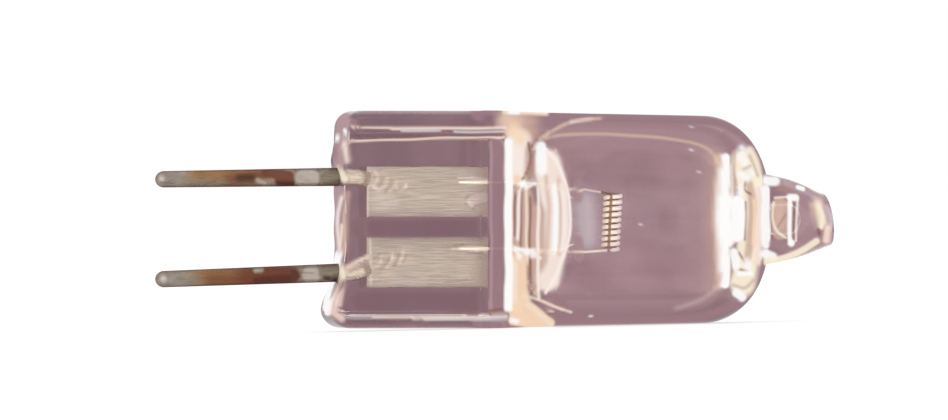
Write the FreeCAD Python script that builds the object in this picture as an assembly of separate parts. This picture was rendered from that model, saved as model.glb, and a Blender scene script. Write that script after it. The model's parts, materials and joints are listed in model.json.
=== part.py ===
"""Halogen capsule bulb with a two-pin base, modelled piece by piece in millimetres.

The lamp is first built along its own axis: X runs from the pins' side to the exhaust tip, with X = 0 at the
seal's end face, Y lies across the flat of the seal and Z across its thickness. All the pieces are then turned
together to the pose in which the loose bulb comes to rest: on the seal's narrow side and on the edge of the dome.
"""
import FreeCAD
import Part
import math
import os

from FreeCAD import Vector

# Contact pins: outside the glass, where they enter it, and beaten flat where they meet the foils
pin_spacing = 4.0
pin_diameter = 0.72
pin_exposed_length = 7.64
pin_lean_upper_deg = 0.8
pin_lean_lower_deg = 2.0
pin_seat_depth = 0.1
pin_neck_diameter = 0.5
pin_neck_taper = 0.2
tongue_width = 0.68
tongue_thickness = 0.2
tongue_end_width = 0.34
tongue_end_thickness = 0.14
tongue_entry_length = 0.3
tongue_length = 1.75
tongue_offset_upper = 0.23
tongue_offset_lower = 0.43

# Sealing foils: each carries the current through the glass
foil_length = 5.19
foil_width = 2.09
foil_thickness = 0.03
foil_gap = 0.78
foil_setback = 1.14

# Press seal: the flat end of the glass that grips the pins, foils and filament legs
seal_offset = -0.31
seal_length = 6.8
seal_spread = 0.03
seal_thickness = 3.0
seal_corner_radius = 0.6
seal_edge_radius = 0.7
seal_end_slant = 0.16
seal_end_hollow = 0.2
seal_blend_length = 2.2
seal_blend_sink = 0.12
tray_depth = 0.28
tray_upper_rail = 0.78
tray_lower_rail = 0.36
tray_upper_draft = 0.3
tray_lower_draft = 0.15
tray_end_gap = 0.2
panel_depth = 0.12
panel_end_gap = 0.7
panel_inset = 0.1

# Glass tube, shoulder, dome and exhaust tip
tube_radius_at_shoulder = 4.42
tube_radius_at_dome = 4.27
tube_wall = 0.95
tube_length = 8.7
shoulder_angle_deg = 53.0
shoulder_edge_radius = 0.45
dome_radius = 2.6
dome_wall = 1.1
tip_root_angle_deg = 5.0
tip_belly_drop = 0.3
tip_belly_position = 1.5
tip_end_radius = 1.05
tip_length = 2.75
tip_end_slant_deg = 8.0
tip_edge_radius = 0.2
tip_bore_radius = 0.55
tip_bore_length = 1.3

# Gas space inside the glass
cavity_bottom_radius = 0.22
cavity_bottom_bow = 0.9
cavity_bottom_depth = 0.65
cavity_corner_radius = 1.5

# Filament: one tungsten wire, coiled between two legs that are welded to the foils
wire_diameter = 0.12
coil_diameter = 0.79
coil_pitch = 0.242
coil_turns = 9.5
coil_position = 11.46
coil_centre_y = -0.1
coil_tilt_deg = 3.0
leg_straight = 1.2
leg_bend_radius = 1.2
leg_lead = 1.1
leg_offset_upper = 0.4
leg_offset_lower = 0.55
weld_length = 1.35
weld_width = 0.2
weld_end_width = 0.16
weld_thickness = 0.09

# How high above its foil the middle of a flattened wire lies, as a share of its thickness
FLATTENED_RISE = 0.3

# The filament wire and the flattened ends are too small for their roundness to show, so they have flats
WIRE_FLATS = 8

# The coil is joined up from this many sections a turn
COIL_SECTIONS = 16

# Larger than the lamp, for tools that cut right across it
REACH = 30.0

ORIGIN = Vector(0, 0, 0)
X_AXIS = Vector(1, 0, 0)
Y_AXIS = Vector(0, 1, 0)
Z_AXIS = Vector(0, 0, 1)
UPPER = 1
LOWER = -1

# Places that several pieces share
seal_top = seal_thickness / 2
seal_half_width = tube_radius_at_shoulder + seal_spread
shoulder_slope = math.tan(math.radians(shoulder_angle_deg))
tube_taper = (tube_radius_at_shoulder - tube_radius_at_dome) / tube_length
dome_start = seal_length + tube_length
dome_end = dome_start + dome_radius
tip_end = dome_end + tip_length
cavity_start = seal_length + cavity_bottom_depth
bore_radius = tube_radius_at_dome - tube_wall
foil_top = -FLATTENED_RISE * tongue_thickness
foil_end = foil_setback + foil_length
pin_radius = pin_diameter / 2
wire_radius = wire_diameter / 2
coil_radius = (coil_diameter - wire_diameter) / 2
coil_length = coil_pitch * coil_turns
coil_rise = coil_pitch / (2 * math.pi * coil_radius)
coil_centre = Vector(coil_position, coil_centre_y, 0)
coil_tilt = FreeCAD.Rotation(Z_AXIS, -coil_tilt_deg)


def line(start, end):
    return Part.LineSegment(start, end).toShape()


def arc(start, middle, end):
    return Part.Arc(start, middle, end).toShape()


def on_circle(centre, radius, angle_deg):
    """A point of a circle in the XY plane."""
    angle = math.radians(angle_deg)
    return centre + Vector(radius * math.cos(angle), radius * math.sin(angle), 0)


def corner_arc(centre, radius, start_deg, end_deg):
    """An arc in the XY plane round a centre, from one direction to another."""
    return arc(
        on_circle(centre, radius, start_deg),
        on_circle(centre, radius, (start_deg + end_deg) / 2),
        on_circle(centre, radius, end_deg),
    )


def closed_face(edges):
    """A flat face inside a closed run of edges."""
    return Part.Face(Part.Wire(edges))


def closed_polygon(points):
    return Part.makePolygon(points + [points[0]])


def turned(edges):
    """The solid swept by a closed half outline that goes once round the lamp's axis."""
    return closed_face(edges).revolve(ORIGIN, X_AXIS, 360)


def tube_radius(x):
    return tube_radius_at_shoulder - tube_taper * (x - seal_length)


def glass_of_revolution():
    """Tube, dome and exhaust tip as one turned solid, before the press flattens one end."""
    start = seal_length - seal_edge_radius
    corner = Vector(dome_start, tube_radius_at_dome - dome_radius, 0)
    tip_root = on_circle(corner, dome_radius, tip_root_angle_deg)
    belly = Vector(dome_end + tip_belly_position, tip_root.y - tip_belly_drop, 0)
    rim = Vector(tip_end, tip_end_radius, 0)
    return turned([
        line(Vector(start, 0, 0), Vector(start, tube_radius(start), 0)),
        line(Vector(start, tube_radius(start), 0), Vector(dome_start, tube_radius_at_dome, 0)),
        corner_arc(corner, dome_radius, 90, tip_root_angle_deg),
        arc(tip_root, belly, rim),
        line(rim, Vector(tip_end, 0, 0)),
        line(Vector(tip_end, 0, 0), Vector(start, 0, 0)),
    ])


def shoulder_wedge():
    """The space that the press jaws leave: two sloping planes that open from the seal to past the tube."""
    start = seal_length - seal_edge_radius
    sunk = seal_top - seal_edge_radius / 2
    clear = tube_radius_at_shoulder + tube_wall
    open_x = seal_length + (clear - seal_top) / shoulder_slope
    lower_side = [
        Vector(start, -REACH, -sunk),
        Vector(seal_length, -REACH, -seal_top),
        Vector(open_x, -REACH, -clear),
        Vector(REACH, -REACH, -clear),
    ]
    upper_side = [Vector(point.x, point.y, -point.z) for point in reversed(lower_side)]
    return Part.Face(closed_polygon(lower_side + upper_side)).extrude(Vector(0, 2 * REACH, 0))


def tip_offcut():
    """What is missing past the slanting end of the exhaust tip, where its tube was melted off."""
    offcut = Part.makeBox(REACH, REACH, REACH, Vector(0, -REACH / 2, -REACH / 2))
    offcut.rotate(ORIGIN, Z_AXIS, tip_end_slant_deg)
    setback = tip_end_radius * math.tan(math.radians(tip_end_slant_deg))
    offcut.translate(Vector(tip_end - setback, 0, 0))
    return offcut


def capsule():
    """Shoulder, tube, dome and tip, with the shoulder's two curved edges and the tip's end softened."""
    body = glass_of_revolution().common(shoulder_wedge()).cut(tip_offcut()).Solids[0]
    shoulder_edges = [
        edge
        for edge in body.Edges
        if isinstance(edge.Curve, Part.Ellipse)
        and edge.Length > 2 * tube_radius_at_shoulder
        and edge.CenterOfMass.x < dome_start
    ]
    body = body.makeFillet(shoulder_edge_radius, shoulder_edges)
    tip_edges = [edge for edge in body.Edges if edge.BoundBox.XMin > dome_end + tip_belly_position]
    return body.makeFillet(tip_edge_radius, tip_edges)


def seal_bar():
    """The flat bar of the press seal, rounded all round like fire-polished glass; it dies out in the tube."""
    half = seal_half_width
    joint = seal_length + seal_blend_length
    joint_half = tube_radius(joint) - seal_blend_sink

    def point(x, y):
        return Vector(x, y, -seal_top)

    bar = closed_face([
        line(point(joint, joint_half), point(seal_length, half)),
        line(point(seal_length, half), point(seal_end_slant, half)),
        arc(point(seal_end_slant, half), point(seal_end_hollow, 0), point(-seal_end_slant, -half)),
        line(point(-seal_end_slant, -half), point(seal_length, -half)),
        line(point(seal_length, -half), point(joint, -joint_half)),
        line(point(joint, -joint_half), point(joint, joint_half)),
    ]).extrude(Vector(0, 0, seal_thickness))
    corners = [
        edge
        for edge in bar.Edges
        if edge.BoundBox.ZLength > seal_top and edge.CenterOfMass.x < seal_length / 2
    ]
    bar = bar.makeFillet(seal_corner_radius, corners)
    rim = [
        edge
        for edge in bar.Edges
        if edge.BoundBox.ZLength < seal_top and edge.BoundBox.XMin < seal_length + seal_blend_length / 2
    ]
    return bar.makeFillet(seal_edge_radius, rim)


def pressed_tray(side, depth, inset, end_x):
    """A shallow tray pressed into one broad face of the seal, open at the pins' end, with sloping walls."""
    upper_y = seal_half_width - tray_upper_rail - tray_upper_draft - inset
    lower_y = tray_lower_rail + tray_lower_draft + inset - seal_half_width
    floor = seal_top - depth
    mouth = seal_top + seal_edge_radius
    spread = (mouth - floor) / depth

    def rectangle(z, share):
        upper = upper_y + tray_upper_draft * share
        lower = lower_y - tray_lower_draft * share
        end = end_x + tray_lower_draft * share
        return closed_polygon([
            Vector(-seal_corner_radius, lower, side * z),
            Vector(end, lower, side * z),
            Vector(end, upper, side * z),
            Vector(-seal_corner_radius, upper, side * z),
        ])

    return Part.makeLoft([rectangle(floor, 0), rectangle(mouth, spread)], True, True)


def press_marks():
    """On both broad faces, a wide tray between the side rails and a slightly deeper panel in it."""
    marks = []
    for side in (1, -1):
        marks.append(pressed_tray(side, tray_depth, 0, seal_length - tray_end_gap))
        marks.append(pressed_tray(side, tray_depth + panel_depth, panel_inset, seal_length - panel_end_gap))
    return marks


def turned_gas_space():
    """Tube bore, inner dome and exhaust bore before the seal narrows them."""
    end = dome_end - dome_wall
    corner = Vector(end - cavity_corner_radius, bore_radius - cavity_corner_radius, 0)
    bore_end = dome_end + tip_bore_length
    bore_ball = Vector(bore_end - tip_bore_radius, 0, 0)
    return turned([
        line(Vector(cavity_start, 0, 0), Vector(cavity_start, bore_radius, 0)),
        line(Vector(cavity_start, bore_radius, 0), Vector(corner.x, bore_radius, 0)),
        corner_arc(corner, cavity_corner_radius, 90, 0),
        line(Vector(end, corner.y, 0), Vector(end, tip_bore_radius, 0)),
        line(Vector(end, tip_bore_radius, 0), Vector(bore_ball.x, tip_bore_radius, 0)),
        corner_arc(bore_ball, tip_bore_radius, 90, 0),
        line(Vector(bore_end, 0, 0), Vector(cavity_start, 0, 0)),
    ])


def gas_wedge():
    """Seen from the seal's narrow side, the gas space narrows between two slopes to a rounded bottom."""
    angle = math.radians(shoulder_angle_deg)
    foot = Vector(
        cavity_start + cavity_bottom_radius * (1 - math.sin(angle)),
        -REACH,
        cavity_bottom_radius * math.cos(angle),
    )
    clear = tube_radius_at_shoulder
    top = Vector(foot.x + (clear - foot.z) / shoulder_slope, -REACH, clear)
    far = Vector(REACH, -REACH, clear)

    def below(point):
        return Vector(point.x, point.y, -point.z)

    return closed_face([
        arc(below(foot), Vector(cavity_start, -REACH, 0), foot),
        line(foot, top),
        line(top, far),
        line(far, below(far)),
        line(below(far), below(top)),
        line(below(top), below(foot)),
    ]).extrude(Vector(0, 2 * REACH, 0))


def gas_bowl():
    """Seen from the seal's broad side, the gas space has a bowed bottom."""
    edge = Vector(cavity_start + cavity_bottom_bow, bore_radius, -REACH)
    far = Vector(REACH, bore_radius, -REACH)

    def across(point):
        return Vector(point.x, -point.y, point.z)

    return closed_face([
        arc(across(edge), Vector(cavity_start, 0, -REACH), edge),
        line(edge, far),
        line(far, across(far)),
        line(across(far), across(edge)),
    ]).extrude(Vector(0, 0, 2 * REACH))


def quartz_envelope(metal):
    """The glass in one piece, closed round its gas space and round the metal that runs through the seal."""
    glass = capsule().fuse(seal_bar())
    for mark in press_marks():
        glass = glass.cut(mark)
    gas_space = turned_gas_space().common(gas_wedge()).common(gas_bowl())
    glass = glass.cut(gas_space).removeSplitter()
    for piece in metal:
        glass = glass.cut(piece)
    return glass.Solids[0]


def foil_centre_y(side):
    return seal_offset + side * (foil_width + foil_gap) / 2


def sealing_foil(side):
    """A thin flat strip in the middle of the seal."""
    corner = Vector(foil_setback, foil_centre_y(side) - foil_width / 2, foil_top - foil_thickness)
    return Part.makeBox(foil_length, foil_width, foil_thickness, corner)


def below_foil_top():
    """The layer that a flattened wire end may not enter, because its foil lies there."""
    corner = Vector(foil_setback, -REACH, foil_top - REACH)
    return Part.makeBox(foil_length, 2 * REACH, REACH, corner)


def flat_sided(centre, across, up, width, thickness):
    """A round or flattened wire section with flats, its width along across and its thickness along up."""
    corners = []
    for number in range(WIRE_FLATS):
        angle = 2 * math.pi * (number + 0.5) / WIRE_FLATS
        side = across * (width / 2 * math.cos(angle))
        corners.append(centre + side + up * (thickness / 2 * math.sin(angle)))
    return closed_polygon(corners)


def round_section(centre, diameter):
    """The section of a wire that runs in line with the lamp."""
    return flat_sided(centre, Y_AXIS, Z_AXIS, diameter, diameter)


def flattened_section(x, y, width, thickness):
    """The section of a wire beaten flat on its foil."""
    centre = Vector(x, y, foil_top + FLATTENED_RISE * thickness)
    return flat_sided(centre, Y_AXIS, Z_AXIS, width, thickness)


def pin_axis_y(side, lean_deg, x):
    """How far up its leaning axis passes, at one place along the lamp."""
    middle = seal_offset + side * pin_spacing / 2
    return middle + (x + pin_exposed_length / 2) * math.tan(math.radians(lean_deg))


def pin_shank(side, lean_deg):
    """The round part of a pin, from its domed end to the neck just inside the glass."""
    dome_centre = Vector(pin_radius - pin_exposed_length, 0, 0)
    neck_start = Vector(pin_seat_depth, pin_radius, 0)
    neck_end = Vector(pin_seat_depth + pin_neck_taper, pin_neck_diameter / 2, 0)
    shank = turned([
        corner_arc(dome_centre, pin_radius, 180, 90),
        line(dome_centre + Vector(0, pin_radius, 0), neck_start),
        line(neck_start, neck_end),
        line(neck_end, Vector(neck_end.x, 0, 0)),
        line(Vector(neck_end.x, 0, 0), Vector(-pin_exposed_length, 0, 0)),
    ])
    middle = -pin_exposed_length / 2
    shank.rotate(Vector(middle, 0, 0), Z_AXIS, lean_deg)
    shank.translate(Vector(0, pin_axis_y(side, lean_deg, middle), 0))
    return shank


def contact_pin(side, lean_deg, tongue_offset):
    """A round pin, necked where the glass starts and beaten to a flat tongue where it lies on its foil."""
    neck_y = pin_axis_y(side, lean_deg, pin_seat_depth)
    foil_edge_y = pin_axis_y(side, lean_deg, foil_setback)
    end_y = foil_centre_y(side) + tongue_offset
    flat_y = foil_edge_y + (end_y - foil_edge_y) * tongue_entry_length / tongue_length
    tongue = Part.makeLoft([
        round_section(Vector(pin_seat_depth, neck_y, 0), pin_neck_diameter),
        round_section(Vector(foil_setback - tongue_entry_length, foil_edge_y, 0), pin_neck_diameter),
        flattened_section(foil_setback + tongue_entry_length, flat_y, tongue_width, tongue_thickness),
        flattened_section(foil_setback + tongue_length, end_y, tongue_end_width, tongue_end_thickness),
    ], True, True)
    pin = pin_shank(side, lean_deg).fuse(tongue).removeSplitter()
    return pin.cut(below_foil_top()).Solids[0]


def bent_path(points, radius):
    """Straight runs through the points, joined by tangent arcs."""
    edges = []
    start = points[0]
    for before, corner, after in zip(points, points[1:], points[2:]):
        back = (before - corner).normalize()
        ahead = (after - corner).normalize()
        half_turn = (math.pi - back.getAngle(ahead)) / 2
        reach = radius * math.tan(half_turn)
        bulge = radius / math.cos(half_turn) - radius
        arc_end = corner + ahead * reach
        edges.append(line(start, corner + back * reach))
        edges.append(arc(corner + back * reach, corner + (back + ahead).normalize() * bulge, arc_end))
        start = arc_end
    edges.append(line(start, points[-1]))
    return Part.Wire(edges)


def wire_section(centre, direction):
    """The filament wire's section where it runs in one direction."""
    across = direction.cross(Z_AXIS).normalize()
    up = across.cross(direction).normalize()
    return flat_sided(centre, across, up, wire_diameter, wire_diameter)


def filament_leg(side, foil_offset):
    """A leg leaves the coil along its last turn, bends in line with the lamp and ends flat on its foil."""
    start = coil_centre + coil_tilt.multVec(Vector(0, side * coil_length / 2, -side * coil_radius))
    away = coil_tilt.multVec(Vector(-1, side * coil_rise, 0).normalize())
    y = foil_centre_y(side) + foil_offset
    weld_start = Vector(foil_end + wire_diameter, y, foil_top + wire_radius)
    bends = [start + away * leg_straight, weld_start + Vector(leg_lead, 0, 0)]
    path = bent_path([start] + bends + [weld_start], leg_bend_radius)
    leg = path.makePipeShell([wire_section(start, away)], True, False)
    weld = Part.makeLoft([
        round_section(weld_start, wire_diameter),
        flattened_section(foil_end - wire_diameter, y, weld_width, weld_thickness),
        flattened_section(foil_end - weld_length, y, weld_end_width, weld_thickness),
    ], True, True)
    return leg.fuse(weld.cut(below_foil_top()))


def filament_coil():
    """The open coil, its axis across the lamp in the plane of the seal."""
    steps = round(coil_turns * COIL_SECTIONS)
    sections = []
    for number in range(steps + 1):
        angle = 2 * math.pi * coil_turns * number / steps
        outward = coil_tilt.multVec(Vector(math.sin(angle), 0, math.cos(angle)))
        height = coil_length * (number / steps - 0.5)
        centre = coil_centre + coil_tilt.multVec(Vector(0, height, 0)) + outward * coil_radius
        along = coil_tilt.multVec(Vector(math.cos(angle), coil_rise, -math.sin(angle)))
        up = outward.cross(along).normalize()
        sections.append(flat_sided(centre, outward, up, wire_diameter, wire_diameter))
    return Part.makeLoft(sections, True, True)


def resting_dip():
    """How far the axis dips towards the tip when the seal's narrow side and the dome touch one flat surface."""
    along = dome_start - seal_length
    drop = seal_half_width - (tube_radius_at_dome - dome_radius)
    reach = math.hypot(along, drop)
    return math.degrees(math.acos(dome_radius / reach) - math.atan2(along, drop))


def lay_down(pieces):
    """Turns the lamp onto the lower side of its seal, where it comes to rest, with its middle over the origin."""
    dip_deg = resting_dip()
    dip = math.radians(dip_deg)
    axis_height = seal_length * math.sin(dip) + seal_half_width * math.cos(dip)
    for piece in pieces:
        piece.rotate(ORIGIN, X_AXIS, 90)
        piece.rotate(ORIGIN, Y_AXIS, dip_deg)
        piece.translate(Vector(0, 0, axis_height))
    middle = Part.makeCompound(pieces).optimalBoundingBox(False, False).Center
    for piece in pieces:
        piece.translate(Vector(-middle.x, -middle.y, 0))


def halogen_capsule():
    upper_pin = contact_pin(UPPER, pin_lean_upper_deg, tongue_offset_upper)
    lower_pin = contact_pin(LOWER, pin_lean_lower_deg, tongue_offset_lower)
    foils = [sealing_foil(UPPER), sealing_foil(LOWER)]
    legs = [filament_leg(UPPER, leg_offset_upper), filament_leg(LOWER, leg_offset_lower)]
    return {
        "quartz_envelope": quartz_envelope([upper_pin, lower_pin] + foils + legs),
        "contact_pin_upper": upper_pin,
        "contact_pin_lower": lower_pin,
        "sealing_foil_upper": foils[0],
        "sealing_foil_lower": foils[1],
        "filament": filament_coil().fuse(legs).removeSplitter().Solids[0],
    }


os.makedirs("parts", exist_ok=True)
lamp = halogen_capsule()
lay_down(list(lamp.values()))
for name, piece in lamp.items():
    piece.exportStep(f"parts/{name}.step")
    print(name, "valid" if piece.isValid() else "NOT VALID", round(piece.Volume, 4))
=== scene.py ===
"""Looks of the halogen capsule bulb: smooth quartz glass, stained pins, satin foils and a fine filament.

Every piece is shaped in millimetres in the lamp's own frame, as its CAD node is: X runs from the pins' side
to the exhaust tip with X = 0 at the seal's end face, Y lies across the flat of the seal and Z across its
thickness. The finished points are then laid in the row frame, in metres. Materials turn them back again.
"""
import json
import math

import bpy
import numpy as np
from mathutils import Matrix, Vector


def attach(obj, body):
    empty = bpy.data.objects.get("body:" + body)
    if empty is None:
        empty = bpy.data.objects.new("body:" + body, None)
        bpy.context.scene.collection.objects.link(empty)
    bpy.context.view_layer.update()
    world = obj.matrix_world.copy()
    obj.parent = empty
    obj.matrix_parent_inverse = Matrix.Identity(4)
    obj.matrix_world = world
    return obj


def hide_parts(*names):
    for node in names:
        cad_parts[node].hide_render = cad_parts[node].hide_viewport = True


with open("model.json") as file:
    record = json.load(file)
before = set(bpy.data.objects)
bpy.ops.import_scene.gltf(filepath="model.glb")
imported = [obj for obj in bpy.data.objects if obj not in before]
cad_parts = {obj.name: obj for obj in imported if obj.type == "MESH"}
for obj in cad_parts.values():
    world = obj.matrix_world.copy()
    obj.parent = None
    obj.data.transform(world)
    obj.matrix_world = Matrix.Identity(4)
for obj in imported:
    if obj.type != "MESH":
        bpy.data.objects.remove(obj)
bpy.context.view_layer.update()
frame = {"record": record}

# Photograph: width in pixels, pixels in a millimetre, where the seal's end lies, and the view's lean
IMAGE_WIDTH = 948
PIXELS_PER_MM = 24.4
PIXELS_PER_MM_ALONG = 23.7
VIEW_ORIGIN_X = 338.0
VIEW_ORIGIN_Y = 219.5
VIEW_LEAN_DEG = 13.8
VIEW_SKEW = math.tan(math.radians(VIEW_LEAN_DEG))
VIEW_CENTRE = Vector((5.74, 0.389, 0.0))
LENS_MM = 600.0
SENSOR_MM = 36.0

# Floor: half its width, and how bright it glows for a ray that sees it; and the light of the world
FLOOR_REACH_M = 2.0
FLOOR_GLOW = 0.58
WORLD_LIGHT = 0.75

# Where the record's pin mounts have their middle along the lamp
PIN_MOUNT_X = -3.78

# Press seal
SEAL_LENGTH = 6.8
SEAL_HALF_WIDTH = 4.45
SEAL_TOP = 1.5
SEAL_EDGE_RADIUS = 0.7
SEAL_CORNER_RADIUS = 0.75
SEAL_JOINT_X = 9.0
SEAL_JOINT_HALF_WIDTH = 4.26
SEAL_CENTRE_Y = -0.31
TRAY_FLOOR = 1.22
TRAY_UPPER_Y = 3.37
TRAY_LOWER_Y = -3.94
TRAY_END_X = 6.6
PANEL_FLOOR = 1.10
PANEL_UPPER_Y = 3.27
PANEL_LOWER_Y = -3.84
PANEL_END_X = 6.1
UPPER_DRAFT = 0.3
LOWER_DRAFT = 0.15
PRESSED_EDGE_BLEND = 0.05
LEAST_CORNER = 0.12

# Tube, shoulder, dome and exhaust tip
TUBE_RADIUS_AT_SHOULDER = 4.42
TUBE_RADIUS_AT_DOME = 4.27
TUBE_LENGTH = 8.6
SHOULDER_SLOPE = math.tan(math.radians(53.0))
SHOULDER_BLEND = 0.55
SEAL_BLEND = 0.12
DOME_START = SEAL_LENGTH + TUBE_LENGTH
DOME_RADIUS = 2.6
DOME_LENGTH = 2.4
DOME_END = DOME_START + DOME_LENGTH
TIP_LENGTH = 3.05
TIP_ROOT_DEG = 5.0
TIP_BELLY_DROP = 0.3
TIP_BELLY_POSITION = 1.5
TIP_END_RADIUS = 1.05
TIP_EDGE_RADIUS = 0.2
TIP_END_SLANT_DEG = 8.0

# Gas space inside the glass
BORE_RADIUS = 3.32
CAVITY_START = 7.45
CAVITY_BOTTOM_RADIUS = 0.22
CAVITY_BOTTOM_BOW = 0.9
CAVITY_SWELL = 1.0
CAVITY_END = 17.0
CAVITY_CORNER_RADIUS = 1.5
TIP_BORE_RADIUS = 0.55
TIP_BORE_END = 19.4

# Pins, foils and filament
PIN_SPACING = 4.0
PIN_RADIUS = 0.36
PIN_TIP_RADIUS = 0.335
PIN_GLASS_RADIUS = 0.375
PIN_LENGTH = 7.64
PIN_LEAN_DEG = {1: 0.8, -1: 2.0}
PIN_SEAT = 0.1
PIN_SIDES = 36
TONGUE_HALF_WIDTH = 0.33
TONGUE_HALF_HEIGHT = 0.16
TONGUE_HALF_HEIGHT_ON_FOIL = 0.008
FOIL_START = 1.14
FOIL_LENGTH = 5.19
FOIL_WIDTH = 2.09
FOIL_GAP = 0.78
FOIL_TOP = -0.06
FOIL_THICKNESS = 0.03
TONGUE_OFFSET = {1: 0.23, -1: 0.43}
TONGUE_LENGTH = 1.75
WIRE_RADIUS = 0.055
COIL_WIRE_RADIUS = 0.08
WIRE_SIDES = 12
COIL_RADIUS = 0.325
COIL_PITCH = 0.242
COIL_TURNS = 9.5
COIL_LENGTH = COIL_PITCH * COIL_TURNS
STEPS_PER_TURN = 40
COIL_CENTRE = Vector((11.44, -0.1, 0.0))
COIL_TILT_DEG = 3.0
COIL_TILT = Matrix.Rotation(-math.radians(COIL_TILT_DEG), 3, "Z")
LEG_OFFSET = {1: 0.4, -1: 0.55}
LEG_STRAIGHT = 1.2
LEG_LEAD = 1.1
LEG_BEND_RADIUS = 1.2
WELD_LENGTH = 1.35

# How far the painted strokes sway
WAVER_SIZE = 0.025

UPPER = 1
LOWER = -1
SIDE_NAME = {UPPER: "upper", LOWER: "lower"}


def pin_axis_y(side, x):
    middle = SEAL_CENTRE_Y + side * PIN_SPACING / 2
    return middle + (x + PIN_LENGTH / 2) * math.tan(math.radians(PIN_LEAN_DEG[side]))


def lamp_matrix():
    """From the lamp's own frame in millimetres to the row frame in metres, by the upper pin's mount."""
    mount = next(m for m in frame["record"]["mounts"] if m["name"] == "pin_upper")
    dip = math.atan2(mount["axis"][2], -mount["axis"][0]) + math.radians(PIN_LEAN_DEG[UPPER])
    turn = Matrix.Rotation(dip, 4, "Y") @ Matrix.Rotation(math.pi / 2, 4, "X") @ Matrix.Scale(0.001, 4)
    middle = turn @ Vector((PIN_MOUNT_X, pin_axis_y(UPPER, PIN_MOUNT_X), 0.0))
    return Matrix.Translation(Vector(mount["pos_m"]) - middle) @ turn


LAMP = lamp_matrix()
LAMP_TURN = np.array(LAMP.to_3x3())
LAMP_SHIFT = np.array(LAMP.translation)


def new_piece(name, points, faces, materials, face_material=None, colours=None):
    """A smooth mesh, shaped in the lamp's frame, that rides on the bulb's one body."""
    places = np.array([tuple(p) for p in points]) @ LAMP_TURN.T + LAMP_SHIFT
    mesh = bpy.data.meshes.new(name)
    mesh.from_pydata(places.tolist(), [], [tuple(f) for f in faces])
    mesh.update()
    mesh.shade_smooth()
    piece = bpy.data.objects.new(name, mesh)
    bpy.context.scene.collection.objects.link(piece)
    for material in materials:
        mesh.materials.append(material)
    if colours is not None:
        mesh.attributes.new("painted", "FLOAT_COLOR", "POINT").data.foreach_set("color", np.ravel(colours))
    if face_material is not None:
        mesh.polygons.foreach_set("material_index", np.asarray(face_material, dtype=np.int32))
    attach(piece, "root")
    return piece


def ring_faces(rings, columns, first, flip):
    """Quads between neighbouring closed rings of points."""
    faces = []
    for row in range(rings - 1):
        for column in range(columns):
            a = first + row * columns + column
            b = first + row * columns + (column + 1) % columns
            quad = (a, b, b + columns, a + columns)
            faces.append(quad[::-1] if flip else quad)
    return faces


def fan_faces(centre, ring_start, columns, flip):
    """Triangles from one centre point to a closed ring."""
    faces = []
    for column in range(columns):
        corner = (centre, ring_start + (column + 1) % columns, ring_start + column)
        faces.append(corner[::-1] if flip else corner)
    return faces


def smooth_min(a, b, blend):
    overlap = np.maximum(blend - np.abs(a - b), 0.0)
    return np.minimum(a, b) - overlap * overlap / (4.0 * blend)


def smooth_max(a, b, blend):
    return -smooth_min(-a, -b, blend)


def smooth_step(low, high, value):
    share = np.clip((value - low) / (high - low), 0.0, 1.0)
    return share * share * (3.0 - 2.0 * share)


def rounded_bar_radius(angle, half_width, half_height, corner):
    """Distance from the middle to the edge of a rounded rectangle, in each direction."""
    across = np.maximum(np.abs(np.cos(angle)), 1e-6)
    up = np.maximum(np.abs(np.sin(angle)), 1e-6)
    side = half_width / across
    top = half_height / up
    centre_y = half_width - corner
    centre_z = half_height - corner
    along = across * centre_y + up * centre_z
    inside = np.maximum(along**2 - centre_y**2 - centre_z**2 + corner**2, 0.0)
    arc = along + np.sqrt(inside)
    radius = np.where(side * up <= centre_z, side, arc)
    return np.where(top * across <= centre_y, top, radius)


def tube_radius(x):
    taper = (TUBE_RADIUS_AT_SHOULDER - TUBE_RADIUS_AT_DOME) / TUBE_LENGTH
    return TUBE_RADIUS_AT_SHOULDER - taper * (x - SEAL_LENGTH)


def seal_section(x, angle):
    """Edge of the seal's bar at a distance x from its end face, in each direction."""
    depth = min(max(x, 0.0), SEAL_EDGE_RADIUS)
    sink = SEAL_EDGE_RADIUS - math.sqrt(SEAL_EDGE_RADIUS**2 - (SEAL_EDGE_RADIUS - depth) ** 2)
    plan_depth = min(max(x, 0.0), SEAL_CORNER_RADIUS)
    plan = SEAL_CORNER_RADIUS - math.sqrt(SEAL_CORNER_RADIUS**2 - (SEAL_CORNER_RADIUS - plan_depth) ** 2)
    narrowing = (SEAL_HALF_WIDTH - SEAL_JOINT_HALF_WIDTH) / (SEAL_JOINT_X - SEAL_LENGTH)
    half_width = SEAL_HALF_WIDTH - plan - narrowing * max(x - SEAL_LENGTH, 0.0)
    corner = LEAST_CORNER + SEAL_EDGE_RADIUS - sink - LEAST_CORNER * depth / SEAL_EDGE_RADIUS
    return rounded_bar_radius(angle, half_width, SEAL_TOP - sink, min(corner, SEAL_TOP - sink - 0.02))


def shoulder_section(x, angle):
    """Edge of the tube where the press jaws' two slopes cut it, in each direction."""
    height = SEAL_TOP + SHOULDER_SLOPE * (x - SEAL_LENGTH)
    slope = height / np.maximum(np.abs(np.sin(angle)), 1e-6)
    return smooth_min(slope, tube_radius(x), SHOULDER_BLEND)


def outer_radius(x, angle):
    """Edge of the glass at one place along seal, shoulder and tube, in each direction."""
    if x < SEAL_LENGTH - SEAL_EDGE_RADIUS:
        return seal_section(x, angle)
    shoulder = shoulder_section(x, angle)
    if x > SEAL_JOINT_X:
        return shoulder
    return smooth_max(seal_section(x, angle), shoulder, SEAL_BLEND)


def pressed_height(x, y, floor, upper_y, lower_y, end_x):
    """Height of one pressed floor with its three slanted walls above the seal's middle plane."""
    walls = np.maximum((y - upper_y) / UPPER_DRAFT, (lower_y - y) / LOWER_DRAFT)
    return floor + (SEAL_TOP - floor) * np.maximum(walls, max((x - end_x) / LOWER_DRAFT, 0.0))


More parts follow.
